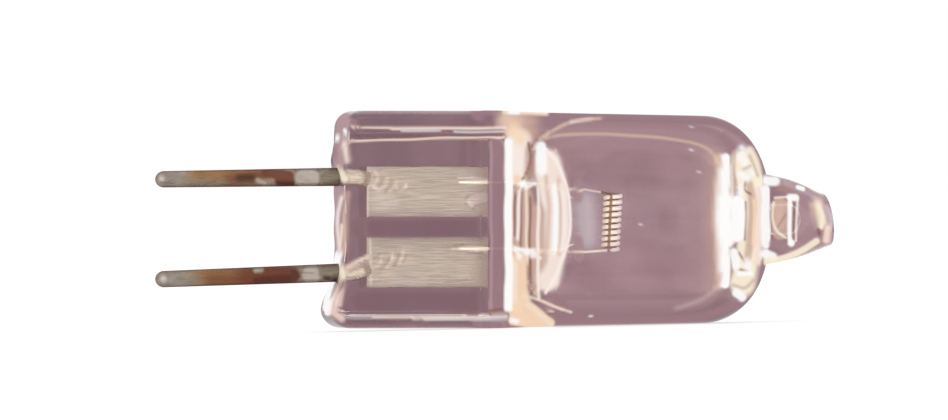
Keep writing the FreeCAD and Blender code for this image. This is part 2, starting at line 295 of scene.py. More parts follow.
def tray_height(x, y):
    """Height of the pressed tray with the deeper panel in it."""
    tray = pressed_height(x, y, TRAY_FLOOR, TRAY_UPPER_Y, TRAY_LOWER_Y, TRAY_END_X)
    panel = pressed_height(x, y, PANEL_FLOOR, PANEL_UPPER_Y, PANEL_LOWER_Y, PANEL_END_X)
    return smooth_min(tray, panel, PRESSED_EDGE_BLEND)


def bell(y, middle, spread):
    return np.exp(-(((y - middle) / spread) ** 2))


def seal_end(y):
    """The uneven line of the seal's melted end, across the seal; its lower corner sticks out."""
    return 0.06 - 0.6 * bell(y, -3.9, 1.2) - 0.13 * bell(y, 2.3, 0.6) + 0.02 * np.sin(4.3 * y)


def seal_directions():
    """Directions in which the seal's rounded rectangle is sampled, closest where its trays have walls."""
    edge = SEAL_EDGE_RADIUS
    flat = SEAL_HALF_WIDTH - edge
    side = SEAL_TOP - edge
    y = np.linspace(flat, -flat, 4001)
    density = 1.0 + 5.0 * bell(y, 3.47, 0.28) + 3.0 * bell(y, -3.7, 0.2)
    share = np.cumsum(density)
    share = (share - share[0]) / (share[-1] - share[0])
    broad = np.interp(np.linspace(0.0, 1.0, BROAD_COLUMNS, endpoint=False), share, y)
    turn = np.linspace(0.0, math.pi / 2, CORNER_COLUMNS, endpoint=False)
    rise = np.linspace(0.0, side, SIDE_COLUMNS, endpoint=False)
    quarter_side = [(SEAL_HALF_WIDTH, z) for z in rise]
    corner = [(flat + edge * math.cos(t), side + edge * math.sin(t)) for t in turn]
    top = [(value, SEAL_TOP) for value in broad]
    far_corner = [(-flat - edge * math.sin(t), side + edge * math.cos(t)) for t in turn]
    far_side = [(-SEAL_HALF_WIDTH, side - z) for z in rise]
    upper = quarter_side + corner + top + far_corner + far_side
    angles = [math.atan2(z, value) for value, z in upper]
    return np.array(angles + [angle + math.pi for angle in mirrored_half(angles)])


def mirrored_half(angles):
    """The lower half's directions, less half a turn; both broad faces are sampled at the same places."""
    return [0.0] + [math.pi - angle for angle in angles[:0:-1]]


def round_directions():
    """Directions round the tube: closest on the front, where the painted highlights are, and there even in
    view.
    """
    front = round(COLUMNS * FRONT_SHARE)
    share = np.linspace(0.0, 1.0, front, endpoint=False)
    facing = 0.5 * math.pi * share + 0.5 * np.arccos(1.0 - 2.0 * share)
    return np.concatenate([facing, np.linspace(math.pi, 2.0 * math.pi, COLUMNS - front, endpoint=False)])


# How finely the glass is sampled, and in which directions
BROAD_COLUMNS = 92
CORNER_COLUMNS = 9
SIDE_COLUMNS = 6
FRONT_SHARE = 0.68
SEAL_ANGLES = seal_directions()
COLUMNS = len(SEAL_ANGLES)
ROUND_ANGLES = round_directions()
BORE_ANGLES = np.linspace(0.0, 2.0 * math.pi, 112, endpoint=False)


def directions(x):
    """Directions of one section's points: the seal's own at the seal, the tube's own round the tube."""
    share = smooth_step(SEAL_LENGTH - 0.2, SEAL_LENGTH + 3.2, x)
    return SEAL_ANGLES * (1.0 - share) + ROUND_ANGLES * share


def outer_section(x):
    angle = directions(x)
    radius = outer_radius(x, angle)
    y = radius * np.cos(angle)
    z = radius * np.sin(angle)
    if x < SEAL_LENGTH:
        height = smooth_min(np.abs(z), tray_height(x, y), PRESSED_EDGE_BLEND)
        z = np.where(np.abs(z) > 0.4, np.sign(z) * height, z)
    shift = seal_end(y) * (1.0 - smooth_step(0.3, 2.2, x))
    return np.column_stack([x + shift, y, z])


def end_face_rings():
    """The seal's end face, from its middle out to its rim."""
    rim = outer_section(0.0)
    rings = []
    for share in np.linspace(0.06, 0.97, 14):
        y = rim[:, 1] * share
        rings.append(np.column_stack([seal_end(y), y, rim[:, 2] * share]))
    return rings


def outer_stations():
    """Places along the lamp where seal, shoulder and tube are cut into sections."""
    rim = SEAL_EDGE_RADIUS * (1.0 - np.cos(np.linspace(0.0, math.pi / 2, 14)))
    return np.concatenate([
        rim,
        np.linspace(0.76, 5.8, 42),
        np.linspace(5.86, 6.9, 28),
        np.linspace(6.94, 9.9, 78),
        np.linspace(10.05, DOME_START, 34),
    ])


def tip_profile():
    """Radius along dome and exhaust tip, as (x, radius) pairs."""
    base = TUBE_RADIUS_AT_DOME - DOME_RADIUS
    turn = np.radians(np.linspace(3.0, 90.0 - TIP_ROOT_DEG, 72))
    dome = [(DOME_START + DOME_LENGTH * math.sin(t), base + DOME_RADIUS * math.cos(t)) for t in turn]
    root = Vector(dome[-1])
    belly = Vector((DOME_END + TIP_BELLY_POSITION, root.y - TIP_BELLY_DROP))
    rim = Vector((DOME_END + TIP_LENGTH, TIP_END_RADIUS))
    centre, radius = circle_through(root, belly, rim)
    start = math.atan2(root.y - centre.y, root.x - centre.x)
    stop = math.atan2(rim.y - centre.y, rim.x - centre.x)
    tip = []
    for t in np.linspace(start, stop, 64)[1:]:
        tip.append((centre.x + radius * math.cos(t), centre.y + radius * math.sin(t)))
    return dome, tip


def circle_through(a, b, c):
    """Centre and radius of the circle through three points of a plane."""
    ab = b - a
    ac = c - a
    turn = 2.0 * (ab.x * ac.y - ab.y * ac.x)
    offset = Vector((
        (ac.y * ab.length_squared - ab.y * ac.length_squared) / turn,
        (ab.x * ac.length_squared - ac.x * ab.length_squared) / turn,
    ))
    return a + offset, offset.length


def round_ring(x, radius, angle=ROUND_ANGLES):
    return np.column_stack([np.full(len(angle), x), radius * np.cos(angle), radius * np.sin(angle)])


def tip_rings():
    """Rings of dome and tip, with the tip's melted-off end leaning as the photograph shows it."""
    dome, tip = tip_profile()
    slant = math.tan(math.radians(TIP_END_SLANT_DEG))
    rings = [round_ring(x, radius) for x, radius in dome + tip]
    end_x, end_radius = tip[-1]
    for turn in np.radians(np.linspace(10.0, 90.0, 8)):
        radius = end_radius - TIP_EDGE_RADIUS * (1.0 - math.cos(turn))
        rings.append(round_ring(end_x - TIP_EDGE_RADIUS * (1.0 - math.sin(turn)), radius))
    for share in (0.85, 0.65, 0.45, 0.25, 0.1):
        rings.append(round_ring(end_x, (end_radius - TIP_EDGE_RADIUS) * share))
    for ring in rings:
        lean = smooth_step(DOME_END + 0.9, DOME_END + TIP_LENGTH, ring[:, 0])
        ring[:, 0] -= lean * (ring[:, 1] + TIP_END_RADIUS) * slant
    return rings


def cavity_section(x):
    """Edge of the gas space at one place along the lamp."""
    depth = x - CAVITY_START
    lean = math.atan(SHOULDER_SLOPE)
    foot_x = CAVITY_BOTTOM_RADIUS * (1.0 - math.sin(lean))
    if depth < foot_x:
        height = math.sqrt(max(CAVITY_BOTTOM_RADIUS**2 - (CAVITY_BOTTOM_RADIUS - depth) ** 2, 1e-6))
    else:
        height = CAVITY_BOTTOM_RADIUS * math.cos(lean) + SHOULDER_SLOPE * (depth - foot_x)
    bow_radius = (BORE_RADIUS**2 + CAVITY_BOTTOM_BOW**2) / (2.0 * CAVITY_BOTTOM_BOW)
    if depth < CAVITY_BOTTOM_BOW:
        width = math.sqrt(max(bow_radius**2 - (bow_radius - depth) ** 2, 1e-6))
    else:
        width = 3.0 * BORE_RADIUS
    height += CAVITY_SWELL * smooth_step(CAVITY_START + 0.1, CAVITY_START + 1.2, x)
    flat = min(height, BORE_RADIUS)
    wide = min(width, BORE_RADIUS)
    angle = np.arctan2(flat * np.sin(BORE_ANGLES), wide * np.cos(BORE_ANGLES))
    across = width / np.maximum(np.abs(np.cos(angle)), 1e-6)
    slope = height / np.maximum(np.abs(np.sin(angle)), 1e-6)
    radius = smooth_min(BORE_RADIUS, across, 0.08 * wide)
    radius = smooth_min(radius, slope, min(0.3, 0.3 * flat))
    return round_ring(x, radius, angle)


def cavity_rings():
    """Rings of the gas space, from its bottom in the seal to the end of the exhaust bore."""
    stations = np.concatenate([
        CAVITY_START + np.geomspace(0.012, 0.9, 22),
        np.linspace(8.45, 10.2, 22),
        np.linspace(10.4, CAVITY_END - CAVITY_CORNER_RADIUS, 20),
    ])
    rings = [cavity_section(x) for x in stations]
    corner_x = CAVITY_END - CAVITY_CORNER_RADIUS
    corner_r = BORE_RADIUS - CAVITY_CORNER_RADIUS
    for turn in np.radians(np.linspace(4.0, 90.0, 20)):
        x = corner_x + CAVITY_CORNER_RADIUS * math.sin(turn)
        rings.append(round_ring(x, corner_r + CAVITY_CORNER_RADIUS * math.cos(turn), BORE_ANGLES))
    for share in np.linspace(0.2, 1.0, 6):
        radius = corner_r + share * (TIP_BORE_RADIUS + 0.1 - corner_r)
        rings.append(round_ring(CAVITY_END + 0.1 * share**2, radius, BORE_ANGLES))
    ball_x = TIP_BORE_END - TIP_BORE_RADIUS
    for x in np.linspace(CAVITY_END + 0.25, ball_x, 12):
        rings.append(round_ring(x, TIP_BORE_RADIUS, BORE_ANGLES))
    for turn in np.radians(np.linspace(10.0, 84.0, 9)):
        radius = TIP_BORE_RADIUS * math.cos(turn)
        rings.append(round_ring(ball_x + TIP_BORE_RADIUS * math.sin(turn), radius, BORE_ANGLES))
    return rings


def add_shell(points, faces, rings, start_centre, end_centre, flip):
    """Adds a closed skin of rings with a point at each end; returns how many faces it has."""
    before = len(faces)
    columns = len(rings[0])
    first = len(points)
    points.append(start_centre)
    ring_start = len(points)
    for ring in rings:
        points.extend(map(tuple, ring))
    points.append(end_centre)
    last_ring = ring_start + (len(rings) - 1) * columns
    faces.extend(fan_faces(first, ring_start, columns, flip))
    faces.extend(ring_faces(len(rings), columns, ring_start, flip=flip))
    faces.extend(fan_faces(len(points) - 1, last_ring, columns, flip=not flip))
    return len(faces) - before


def at(pixel_x, pixel_y):
    """Where a point of the photograph lies on the front of the lamp, along the view's axis and across."""
    along = (pixel_x - VIEW_ORIGIN_X) / PIXELS_PER_MM_ALONG
    return np.array([along, (VIEW_ORIGIN_Y - pixel_y) / PIXELS_PER_MM])


# Painted highlights and reflections on the front of the glass, and painted shade, as soft glowing strokes
# that lie over one another; dark mauve strokes also paint over bright refractions at the edges. Each row has
# its colour, strength, width and softness, then its lines as x, y, x, y and so on, all measured in the
# photograph's pixels
MAUVE = (0.33, 0.195, 0.225)
SHADE = (0.25, 0.148, 0.175)
DEEP = (0.18, 0.105, 0.125)
TUBE = (0.38, 0.24, 0.26)
DUSK = (0.31, 0.17, 0.21)
ROSE = (0.46, 0.31, 0.33)
TAN = (0.6, 0.4, 0.33)
PEACH = (0.8, 0.56, 0.44)
APRICOT = (0.94, 0.69, 0.49)
CREAM = (0.93, 0.76, 0.62)
BLUSH = (0.94, 0.72, 0.64)
PEARL = (0.98, 0.88, 0.82)
SILVER = (0.66, 0.64, 0.7)
BROWN = (0.24, 0.11, 0.08)
UMBER = (0.42, 0.25, 0.2)
LILAC = (0.62, 0.5, 0.55)
IVORY = (0.97, 0.87, 0.68)
SHELL = (0.98, 0.84, 0.75)
WHITE = (1.0, 0.99, 0.98)
PAINTED_GLINTS_AND_SHADE = [
    (MAUVE, 0.95, 10, 6, (550, 116, 640, 117, 700, 119, 724, 124, 742, 133, 757, 150, 766, 176),
     (550, 320, 640, 319, 700, 318, 722, 312, 742, 304, 757, 288, 766, 262)),
    (MAUVE, 0.9, 14, 5, (478, 114, 514, 116), (478, 322, 514, 321, 538, 325)),
    (SHADE, 0.9, 9, 4, (488, 120, 504, 120)),
    (MAUVE, 0.95, 9, 4, (350, 122, 354, 124), (497, 122, 504, 124), (548, 127, 557, 127)),
    (MAUVE, 0.95, 17, 3, (497, 146, 497, 308)),
    (MAUVE, 0.9, 24, 8, (512, 124, 540, 136), (512, 312, 540, 304)),
    (MAUVE, 0.9, 13, 8, (560, 125, 640, 125, 704, 129, 724, 140, 738, 158)),
    (DEEP, 0.75, 20, 8, (376, 228, 480, 228)),
    (DEEP, 0.75, 24, 12, (362, 301, 474, 301)),
    (DEEP, 0.2, 20, 12, (362, 152, 474, 152)),
    (ROSE, 0.95, 15, 4, (344, 120, 341, 150, 340, 160), (339, 194, 340, 240, 338, 256)),
    (TUBE, 0.9, 26, 14, (562, 138, 640, 139, 702, 143, 714, 156)),
    (MAUVE, 0.75, 16, 10, (570, 309, 640, 309, 700, 304, 718, 290)),
    (DUSK, 0.4, 40, 38, (640, 232, 685, 222)),
    (ROSE, 0.4, 26, 22, (600, 165, 690, 170), (640, 190, 690, 195)),
    (ROSE, 0.45, 30, 26, (560, 288, 640, 290, 690, 284), (600, 262, 690, 256)),
    (SHADE, 0.9, 8, 4, (480, 144, 480, 163), (480, 220, 480, 235), (480, 293, 480, 309)),
    (MAUVE, 0.9, 6, 3, (491, 143, 491, 309)),
    (ROSE, 0.75, 3, 2.6, (491, 142, 491.5, 310)),
    (PEACH, 0.6, 8, 7, (348, 194, 346, 215, 344, 250), (346, 143, 349, 160), (340, 286, 336, 302)),
    (MAUVE, 0.7, 4, 4, (335, 134, 335, 160), (344, 200, 340, 222, 341, 246)),
    (PEARL, 0.75, 4, 4, (342, 198, 337, 222, 339, 246), (344, 144, 348, 162)),
    (MAUVE, 0.97, 20, 4, (512, 118, 552, 119), (515, 131, 530, 132)),
    (TAN, 0.9, 22, 20, (510, 119, 526, 122), (513, 131, 527, 132)),
    (PEACH, 0.9, 16, 15, (508, 121, 514, 124), (511, 134, 520, 138)),
    (CREAM, 0.95, 5, 4, (505, 112, 528, 112, 546, 113)),
    (WHITE, 0.9, 4, 3, (510, 112.5, 518, 112.5)),
    (PEARL, 0.95, 24, 11, (519, 143, 518, 176)),
    (APRICOT, 0.8, 13, 11, (514, 131, 521, 139)),
    (APRICOT, 0.95, 11, 6, (515, 180, 524, 186)),
    (SHELL, 0.93, 32, 9, (546, 164, 553, 186, 556, 215, 553, 246, 546, 276)),
    (TAN, 0.95, 26, 8, (521, 197, 521, 246), (532, 215, 533, 262)),
    (APRICOT, 0.95, 22, 8, (518, 262, 519, 296)),
    (MAUVE, 0.95, 16, 4, (547, 300, 559, 305)),
    (APRICOT, 0.95, 11, 3, (514, 300, 524, 300), (516, 303, 525, 303, 549, 323), (516, 309, 540, 323),
     (515, 315, 530, 322), (514, 320, 545, 325)),
    (CREAM, 0.8, 5, 4, (528, 304, 551, 324)),
    (WHITE, 0.85, 5, 4, (512, 320, 517, 321.5)),
    (TAN, 0.8, 11, 6, (532, 252, 534, 288), (531, 150, 529, 176)),
    (UMBER, 0.8, 5.5, 4.5, (532, 147, 533, 162, 529, 177), (529, 262, 530, 288)),
    (PEARL, 0.5, 6, 5, (514, 264, 514, 300)),
    (SILVER, 0.6, 26, 22, (584, 200, 586, 240)),
    (PEARL, 0.2, 16, 14, (590, 206, 592, 236)),
    (ROSE, 0.6, 34, 32, (706, 162, 702, 215, 706, 284)),
    (TAN, 0.5, 16, 14, (713, 158, 710, 215, 713, 286)),
    (PEACH, 0.85, 8, 7, (719, 158, 716, 190, 714, 215, 716, 245, 719, 286)),
    (PEARL, 0.9, 7, 5, (721, 170, 718, 205, 718, 230, 721, 270)),
    (IVORY, 0.95, 27, 8, (743, 163, 750, 195, 750, 246, 742, 283)),
    (IVORY, 0.9, 9, 5, (750, 151, 757, 166, 760, 184)),
    (BLUSH, 0.9, 6, 4, (758, 190, 759, 215, 757, 262)),
    (CREAM, 0.9, 5, 4, (731.5, 166, 731.5, 203)),
    (TAN, 0.85, 8, 5, (749, 184, 752, 200, 750, 244, 747, 258)),
    (DUSK, 0.8, 2.2, 2, (745, 202, 745, 240), (728.5, 256, 728.5, 288)),
    (APRICOT, 0.8, 3, 2.6, (753, 200, 754, 222, 753, 244)),
    (APRICOT, 0.5, 3.4, 3, (540, 139, 552, 131, 566, 124, 584, 119.5, 600, 118)),
    (APRICOT, 0.42, 3, 3, (545, 139, 560, 134.5, 620, 134, 690, 141, 711, 150, 719, 166)),
    (PEARL, 0.2, 4, 5, (719, 284, 706, 299, 676, 308)),
    (PEARL, 0.4, 4, 3.6, (572, 122, 590, 119)),
    (CREAM, 0.85, 2.8, 2.2, (352, 128, 392, 128), (338, 139, 346, 142, 405, 139.5, 481, 137, 504, 138),
     (374, 317.5, 414, 317), (523, 294, 541, 300, 553, 306, 571, 312), (342, 225, 340, 248),
     (526, 188, 527, 262)),
    (CREAM, 0.9, 3.6, 3, (392, 129, 506, 128), (414, 318, 506, 316)),
    (SILVER, 0.85, 3, 2.4, (402, 131, 440, 131), (455, 132, 505, 132), (425, 320, 506, 318)),
    (BROWN, 0.8, 2.4, 2.2, (528, 143, 532, 158, 527, 172, 522, 179), (474, 135, 505, 135),
     (487, 311, 503, 309), (521, 192, 521, 252), (530, 198, 530, 285), (735, 268, 747, 271),
     (745, 181, 743, 190, 750, 194), (515, 194, 515, 236), (738, 252, 744, 262)),
    (CREAM, 0.9, 5.5, 4, (348, 267, 357, 261, 368, 256.5)),
    (IVORY, 0.9, 9, 5, (341, 172, 345, 179), (341, 268, 343, 277)),
    (TAN, 0.7, 2.4, 2.4, (349, 271, 358, 266, 368, 263)),
    (TAN, 0.55, 4, 4, (546, 176, 549, 215, 546, 262), (559, 180, 560.5, 215, 559, 254)),
    (PEARL, 0.8, 4, 3.4, (561, 186, 565, 215, 561, 250)),
    (PEARL, 0.95, 3.6, 2.8, (545, 148, 558, 163, 567, 186, 571, 215, 567, 247, 557, 275, 545, 292)),
    (PEARL, 0.9, 3.4, 2.6, (538, 186, 538, 240, 538, 298), (526, 254, 540, 258), (519, 190, 518, 240)),
    (WHITE, 0.95, 5.5, 3, (554, 186, 556, 215, 554, 252)),
    (TUBE, 0.95, 11, 5, (578, 184, 577, 198), (577, 241, 578, 257)),
    (CREAM, 0.8, 2, 2, (516, 184.5, 540, 187, 582, 190.5), (516, 250, 545, 252, 582, 251.5)),
    (WHITE, 0.95, 11, 4, (541, 147, 542, 170)),
    (WHITE, 0.98, 8.5, 2.4, (508.5, 142, 508.5, 308)),
    (WHITE, 0.97, 8, 2.6, (339, 254, 334, 274, 328, 294, 326, 308), (331, 302, 328, 312), (522, 184)),
    (WHITE, 0.9, 5.5, 4, (515, 249, 524, 251, 534, 252), (519, 256), (526, 186, 534, 183)),
    (BLUSH, 0.85, 8, 5, (333, 312, 342, 318), (337, 292, 335, 304)),
    (WHITE, 0.95, 4.8, 2.4, (346, 131), (337, 139), (738, 273.5, 751, 273.5)),
    (WHITE, 0.98, 10, 3, (725, 158, 725, 284)),
    (WHITE, 0.98, 18, 6, (725, 201, 724, 220, 726, 240)),
    (WHITE, 0.98, 14, 3, (737, 203, 738, 216, 737, 235)),
    (WHITE, 0.75, 9, 7, (741, 157, 747, 166), (753, 172), (739, 188, 738, 196), (746, 262, 748, 267)),
    (TAN, 0.65, 3.4, 3.2, (735, 152, 733, 170, 735, 190), (750, 156, 758, 176),
     (733, 285, 745, 289, 753, 280), (742, 170, 750, 166)),
    (WHITE, 0.95, 9, 4, (736, 293, 742, 297), (733, 252, 735, 266)),
    (WHITE, 0.85, 8, 7, (742, 148, 744, 150), (740, 174, 746, 178)),
    (WHITE, 0.95, 10.5, 4, (766, 190, 765, 215, 766, 244)),
    (ROSE, 0.8, 24, 10, (804, 210, 804, 226)),
    (TUBE, 0.85, 10, 5, (774, 244, 790, 248), (784, 187, 800, 198, 810, 206), (806, 238, 812, 230)),
    (LILAC, 0.65, 6, 5, (786, 182, 798, 188, 814, 195, 827, 209), (828, 214, 830, 226)),
    (TAN, 0.9, 19, 4, (781, 207, 781, 231)),
    (PEACH, 0.5, 12, 11, (781, 207, 779, 224)),
    (WHITE, 0.95, 11, 5, (768, 181, 776, 181), (766, 254, 773, 257)),
    (IVORY, 0.85, 2.8, 2.4, (775, 203, 772, 217, 776, 231, 787, 238), (776, 198, 789, 197)),
    (UMBER, 0.7, 2.6, 2.4, (777, 190, 790, 189, 799, 195), (779, 226, 787, 214)),
    (CREAM, 0.9, 14, 11, (819, 204, 823, 222)),
    (IVORY, 0.95, 6, 4, (820, 206, 824, 216, 822, 227)),
    (IVORY, 0.92, 8, 4, (768, 262, 788, 257.5, 806, 250, 818, 241.5)),
    (LILAC, 0.85, 7, 6, (828, 208, 831, 215, 832, 223)),
    (PEARL, 0.9, 2.8, 2.4, (798, 198, 797.6, 220, 797, 241)),
    (BLUSH, 0.95, 9, 6, (829, 228, 828, 240)),
    (BROWN, 0.85, 4.4, 3, (819.5, 230, 820.5, 234)),
    (BROWN, 0.8, 3.4, 2.4, (794.4, 204, 795.2, 222, 794, 238)),
    (WHITE, 0.97, 5, 2.4, (790.8, 198, 790.8, 243), (799, 187, 804, 188.5)),
    (WHITE, 0.97, 7.5, 3, (791, 197.5, 796, 197.5), (792.5, 243)),
    (WHITE, 0.8, 2.6, 2.4, (692, 126), (692, 150), (699, 172), (639, 224), (591, 316)),
]

# Welds and ripples of the two foils, drawn as painted highlights with painted shade at their edges, and
# painted highlights along the foils' edges
SATIN = (0.74, 0.64, 0.53)
STRAW = (0.88, 0.72, 0.5)
FOIL_MARKS = [
    (SATIN, 0.7, 30, 24, (385, 200, 470, 206), (390, 272, 470, 268)),
    (PEARL, 0.5, 12, 10, (372, 203, 392, 203), (374, 280, 420, 284)),
    (STRAW, 0.45, 16, 12, (366, 176, 384, 179, 404, 186), (369, 264, 384, 260, 402, 254)),
    (APRICOT, 0.5, 8, 7, (408, 257), (376, 275, 386, 276)),
    (UMBER, 0.6, 2.6, 2.4, (373, 189, 378, 186, 381, 179), (383, 192, 388, 188, 390, 181),
     (394, 190, 398, 187), (378, 269, 385, 266, 388, 258), (392, 266, 396, 261, 397, 254),
     (401, 262, 404, 256), (370, 173, 380, 170), (372, 258, 378, 254)),
    (CREAM, 0.95, 3.6, 3, (367, 186, 373, 184, 377, 177, 373, 172), (376, 190, 384, 186, 386, 178),
     (387, 191, 393, 187, 395, 182), (398, 191, 403, 188, 404, 184), (371, 268, 378, 265, 380, 257),
     (385, 267, 391, 261, 391, 253), (397, 263, 401, 257, 401, 251)),
    (PEARL, 0.95, 4.4, 3, (372, 187, 374, 188), (395, 188), (404, 187), (380, 262), (391, 258)),
    (BROWN, 0.6, 2, 1.8, (452, 246.5, 462, 245.5), (464, 253, 480, 253), (456, 182, 480, 183),
     (465, 195.5, 480, 195), (464, 204, 472, 209), (486, 186, 486, 204)),
    (PEARL, 0.9, 3.2, 2.6, (365, 169, 365.5, 216), (368.5, 240, 368.5, 285), (456, 178, 472, 178, 487, 180.5),
     (451, 249, 470, 249, 488, 250), (488, 170, 488, 180), (488.5, 240, 488.5, 286)),
    (PEARL, 0.75, 13, 6, (472, 200, 482, 198)),
    (UMBER, 0.5, 2, 2, (464, 199, 468, 195, 482, 191), (473, 206, 485, 203)),
    (PEARL, 0.95, 5, 3, (467, 202, 469, 205), (482, 250), (474, 250)),
    (PEARL, 0.95, 4, 2.6, (489, 187, 491, 196, 489, 204), (470, 178)),
]

# Heat stains and bare metal along the two pins, a darker band on each next to the glass, and a painted
# highlight on each tip
PIN_LIGHT = (0.5, 0.44, 0.38)
OLIVE = (0.23, 0.2, 0.15)
AMBER = (0.34, 0.17, 0.065)
RUST = (0.17, 0.052, 0.03)
DARK_RUST = (0.09, 0.027, 0.02)
SOOT = (0.06, 0.03, 0.022)
PIN_MARKS = [
    (AMBER, 0.95, 30, 26, (202, 174, 258, 174), (204, 276, 262, 275)),
    (OLIVE, 0.75, 9, 8, (184, 183, 232, 182.5), (176, 281, 200, 281)),
    (AMBER, 0.6, 6, 5, (190, 173, 236, 176)),
    (RUST, 0.75, 16, 15, (234, 181, 258, 178), (214, 281, 244, 280)),
    (SOOT, 0.85, 8, 7, (241, 178.5, 252, 178)),
    (RUST, 0.95, 30, 22, (252, 278, 286, 275)),
    (RUST, 0.9, 16, 5, (270, 276, 293, 275)),
    (RUST, 0.95, 11, 4, (267, 173, 290, 176), (280, 180, 291, 181)),
    (DARK_RUST, 0.85, 8, 5, (258, 281, 296, 277), (280, 185, 291, 185), (294, 272, 297, 276)),
    (PIN_LIGHT, 0.9, 5, 4, (259, 181, 266, 184), (257, 270, 262, 269.5)),
    (PIN_LIGHT, 0.95, 18, 4, (304, 179, 312, 178.5), (311, 274.5, 313, 274.5)),
    (OLIVE, 0.9, 18, 4, (329, 178, 336, 178), (328, 272, 334, 272)),
    (DARK_RUST, 0.8, 4.4, 3, (326, 278, 329, 278)),
    # Painted highlight on each pin's tip
    (WHITE, 0.6, 7, 6, (163, 178.5), (165, 278.5)),
]


def rounded(numbers):
    """A line's points, with its corners cut off twice so that a bent stroke runs smoothly."""
    line = list(zip(numbers[::2], numbers[1::2]))
    for _ in range(2 if len(line) > 2 else 0):
        cut = [line[0]]
        for (x, y), (next_x, next_y) in zip(line, line[1:]):
            cut.append((0.75 * x + 0.25 * next_x, 0.75 * y + 0.25 * next_y))
            cut.append((0.25 * x + 0.75 * next_x, 0.25 * y + 0.75 * next_y))
        line = cut + [line[-1]]
    return line


def stroke_cover(place, lines, width, soft):
    """How far each point is covered by the soft-edged strokes along some lines."""
    cover = np.zeros(len(place))
    for line in map(rounded, lines):
        ends = list(zip(line, line[1:])) or [(line[0], line[0])]
        for first, last in ends:
            start = at(*first)
            run = at(*last) - start
            offset = place - start
            share = np.clip(offset @ run / max(run @ run, 1e-9), 0.0, 1.0)
            distance = np.linalg.norm(offset - share[:, None] * run, axis=1) * PIXELS_PER_MM
            here = 1.0 - smooth_step(max(width - soft, 0.0) / 2, (width + soft) / 2, distance)
            cover = np.maximum(cover, here)
    return cover


def waver(x, y):
    """A small uneven shift of the strokes, as melted glass and heat stains have."""
    return WAVER_SIZE * (np.sin(2.1 * x + 1.7 * y) + 0.7 * np.sin(3.7 * y - 2.9 * x + 1.0)) / 1.7


def painted(points, strokes, ground):
    """Colour of each point and how far it is covered, as four columns, seen along the photograph's view."""
    x, y, z = points.T
    sway = waver(x, y)
    place = np.column_stack([x + VIEW_SKEW * z + sway, y - 0.6 * sway])
    colour = np.tile(np.array(ground), (len(points), 1))
    cover = np.zeros(len(points))
    for tone, strength, width, soft, *lines in strokes:
        here = strength * stroke_cover(place, lines, width, soft)
        colour += (np.array(tone) - colour) * here[:, None]
        cover = np.maximum(cover, here)
    return np.column_stack([colour, cover])


def glass_envelope(outer_glass, inner_glass):
    """The glass: its outer skin with the painted highlights and painted shade, and the clear skin of the gas
    space.
    """
    points = []
    faces = []
    outer = end_face_rings() + [outer_section(x) for x in outer_stations()] + tip_rings()
    seal_middle = (seal_end(0.0), 0.0, 0.0)
    tip_middle = tuple(outer[-1].mean(axis=0))
    outer_count = add_shell(points, faces, outer, seal_middle, tip_middle, False)
    outer_points = np.array(points)
    glints_and_shade = painted(outer_points, PAINTED_GLINTS_AND_SHADE, MAUVE)
    front = smooth_step(-0.05, 0.15, outer_points[:, 2])
    end_face = smooth_step(0.6, 0.3, outer_points[:, 0])
    glints_and_shade[:, 3] *= np.maximum(front, end_face)
    inner = cavity_rings()
    inner_count = add_shell(points, faces, inner, (CAVITY_START, 0.0, 0.0), (TIP_BORE_END, 0.0, 0.0), True)
    which = [0] * outer_count + [1] * inner_count
    colours = np.vstack([glints_and_shade, np.zeros((len(points) - len(glints_and_shade), 4))])
    return new_piece("glass_envelope", points, faces, [outer_glass, inner_glass], which, colours)


def swept_tube(path, radii, squash, sides):
    """Rings of a wire along a path of points; squash gives each ring's height as a share of its width."""
    path = [Vector(p) for p in path]
    rings = []
    up = Vector((0.0, 0.0, 1.0))
    for number, point in enumerate(path):
        ahead = path[min(number + 1, len(path) - 1)] - path[max(number - 1, 0)]
        ahead.normalize()
        across = ahead.cross(up).normalized()
        rise = across.cross(ahead).normalized()
        wide = across * radii[number]
        tall = rise * radii[number] * squash[number]
        ring = []
        for side in range(sides):
            turn = 2.0 * math.pi * side / sides
            ring.append(point + wide * math.cos(turn) + tall * math.sin(turn))
        rings.append(ring)
    return rings


def add_wire(points, faces, rings):
    """Adds the skin of a wire, closed at both ends, to a list of points and faces."""
    ends = [tuple(sum(ring, Vector()) / len(ring)) for ring in (rings[0], rings[-1])]
    add_shell(points, faces, rings, *ends, flip=True)


def foil_centre_y(side):
    return SEAL_CENTRE_Y + side * (FOIL_WIDTH + FOIL_GAP) / 2


